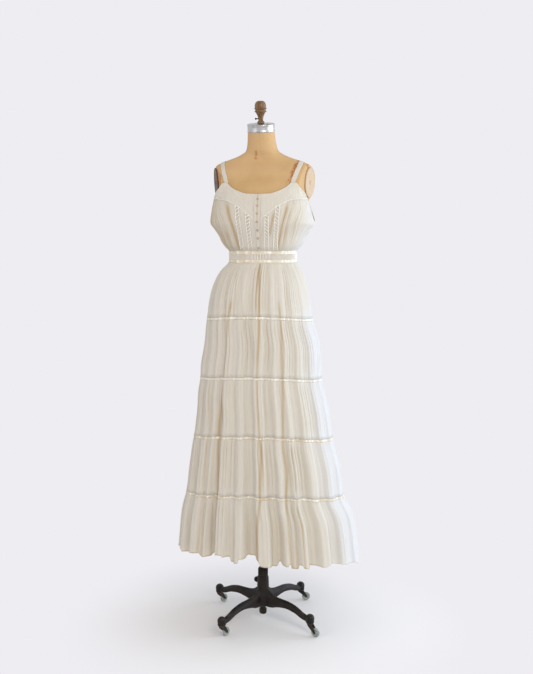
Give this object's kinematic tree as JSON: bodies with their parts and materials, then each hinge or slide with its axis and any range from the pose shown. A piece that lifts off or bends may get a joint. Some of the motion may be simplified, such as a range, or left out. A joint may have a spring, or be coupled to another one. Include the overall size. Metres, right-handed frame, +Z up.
{
  "type": "maxi dress on a wheeled dress form",
  "caption": "Long tiered dress with thin straps, buttoned front and gathered waist, on a limbless dress form with a clamped pole and a cast base on casters.",
  "frame": {"origin": "on the floor, under the middle of the whole object's box", "axes": "+Z up, the dress faces -Y, its left side as seen from the front is at -X"},
  "size_m": [0.6811, 0.4259, 1.9011],
  "materials": {
    "cream_cotton": "fine gathered cotton voile",
    "cream_satin": "satin ribbon",
    "cream_lace": "crochet lace",
    "tan_button": "small satin-gloss button",
    "tan_linen": "aged linen over a moulded hollow shell, with rust stains",
    "arm_plate": "matt",
    "nickel_band": "worn nickel plate",
    "turned_wood": "dark turned wood",
    "cast_iron": "worn black enamel",
    "pole_steel": "drawn tube",
    "wheel_grey": "grey tread"
  },
  "bodies": {
    "base": {"base_casting": "cast_iron", "hub_nut": "cast_iron"},
    "clamp_screw": {"clamp_screw": "cast_iron"},
    "pole": {"pole": "pole_steel"},
    "form": {"dress_form_torso": "tan_linen", "neck_cap": "nickel_band", "neck_finial": "turned_wood", "finial_screw": "cast_iron", "arm_plate_left": "arm_plate", "arm_plate_right": "arm_plate", "strap_left": "cream_cotton", "strap_right": "cream_cotton", "yoke_front_left": "cream_cotton", "yoke_front_right": "cream_cotton", "placket": "cream_cotton", "bodice_front_left": "cream_cotton", "bodice_front_right": "cream_cotton", "bodice_back": "cream_cotton", "lace_inner_left": "cream_lace", "lace_inner_right": "cream_lace", "lace_outer_left": "cream_lace", "lace_outer_right": "cream_lace", "button_1": "tan_button", "button_2": "tan_button", "button_3": "tan_button", "button_4": "tan_button", "button_5": "tan_button", "button_6": "tan_button", "button_7": "tan_button", "waistband_front": "cream_lace", "waistband_back": "cream_lace", "waist_ribbon_upper": "cream_satin", "waist_ribbon_lower": "cream_satin", "skirt_ribbon_1": "cream_satin", "skirt_ribbon_2": "cream_satin", "skirt_ribbon_3": "cream_satin", "skirt_ribbon_4": "cream_satin", "skirt_tier_1_front": "cream_cotton", "skirt_tier_1_back": "cream_cotton", "skirt_tier_2_front": "cream_cotton", "skirt_tier_2_back": "cream_cotton", "skirt_tier_3_front": "cream_cotton", "skirt_tier_3_back": "cream_cotton", "skirt_tier_4_front_left": "cream_cotton", "skirt_tier_4_front_right": "cream_cotton", "skirt_tier_4_back_left": "cream_cotton", "skirt_tier_4_back_right": "cream_cotton", "skirt_tier_5_front_left": "cream_cotton", "skirt_tier_5_front_right": "cream_cotton", "skirt_tier_5_back_left": "cream_cotton", "skirt_tier_5_back_right": "cream_cotton"},
    "caster_front_right": {"caster_fork_front_right": "cast_iron"},
    "wheel_front_right": {"caster_wheel_front_right": "wheel_grey"},
    "caster_back_right": {"caster_fork_back_right": "cast_iron"},
    "wheel_back_right": {"caster_wheel_back_right": "wheel_grey"},
    "caster_back_left": {"caster_fork_back_left": "cast_iron"},
    "wheel_back_left": {"caster_wheel_back_left": "wheel_grey"},
    "caster_front_left": {"caster_fork_front_left": "cast_iron"},
    "wheel_front_left": {"caster_wheel_front_left": "wheel_grey"}
  },
  "joints": [
    {"name": "pole_slide", "type": "slide", "parent": "base", "child": "pole", "axis": [0, 0, 1], "range_m": [-0.07, 0.02]},
    {"name": "form_turn", "type": "hinge", "parent": "pole", "child": "form", "pos_m": [-0.018, 0, 1.04], "axis": [0, 0, 1], "continuous": true},
    {"name": "clamp_screw_turn", "type": "hinge", "parent": "base", "child": "clamp_screw", "pos_m": [-0.0324, 0.01716, 0.139], "axis": [-0.6428, 0.766, 0], "continuous": true},
    {"name": "swivel_front_right", "type": "hinge", "parent": "base", "child": "caster_front_right", "pos_m": [0.17075, -0.12211, 0.046], "axis": [0, 0, 1], "continuous": true},
    {"name": "roll_front_right", "type": "hinge", "parent": "caster_front_right", "child": "wheel_front_right", "pos_m": [0.19132, -0.13447, 0.01576], "axis": [0.515, 0.8572, 0], "continuous": true},
    {"name": "swivel_back_right", "type": "hinge", "parent": "base", "child": "caster_back_right", "pos_m": [0.10411, 0.18875, 0.046], "axis": [0, 0, 1], "continuous": true},
    {"name": "roll_back_right", "type": "hinge", "parent": "caster_back_right", "child": "wheel_back_right", "pos_m": [0.12446, 0.20147, 0.01576], "axis": [-0.5299, 0.848, 0], "continuous": true},
    {"name": "swivel_back_left", "type": "hinge", "parent": "base", "child": "caster_back_left", "pos_m": [-0.20675, 0.12211, 0.046], "axis": [0, 0, 1], "continuous": true},
    {"name": "roll_back_left", "type": "hinge", "parent": "caster_back_left", "child": "wheel_back_left", "pos_m": [-0.19368, 0.14223, 0.01576], "axis": [-0.8387, 0.5446, 0], "continuous": true},
    {"name": "swivel_front_left", "type": "hinge", "parent": "base", "child": "caster_front_left", "pos_m": [-0.14011, -0.18875, 0.046], "axis": [0, 0, 1], "continuous": true},
    {"name": "roll_front_left", "type": "hinge", "parent": "caster_front_left", "child": "wheel_front_left", "pos_m": [-0.12847, -0.16776, 0.01576], "axis": [-0.8746, 0.4848, 0], "continuous": true}
  ]
}
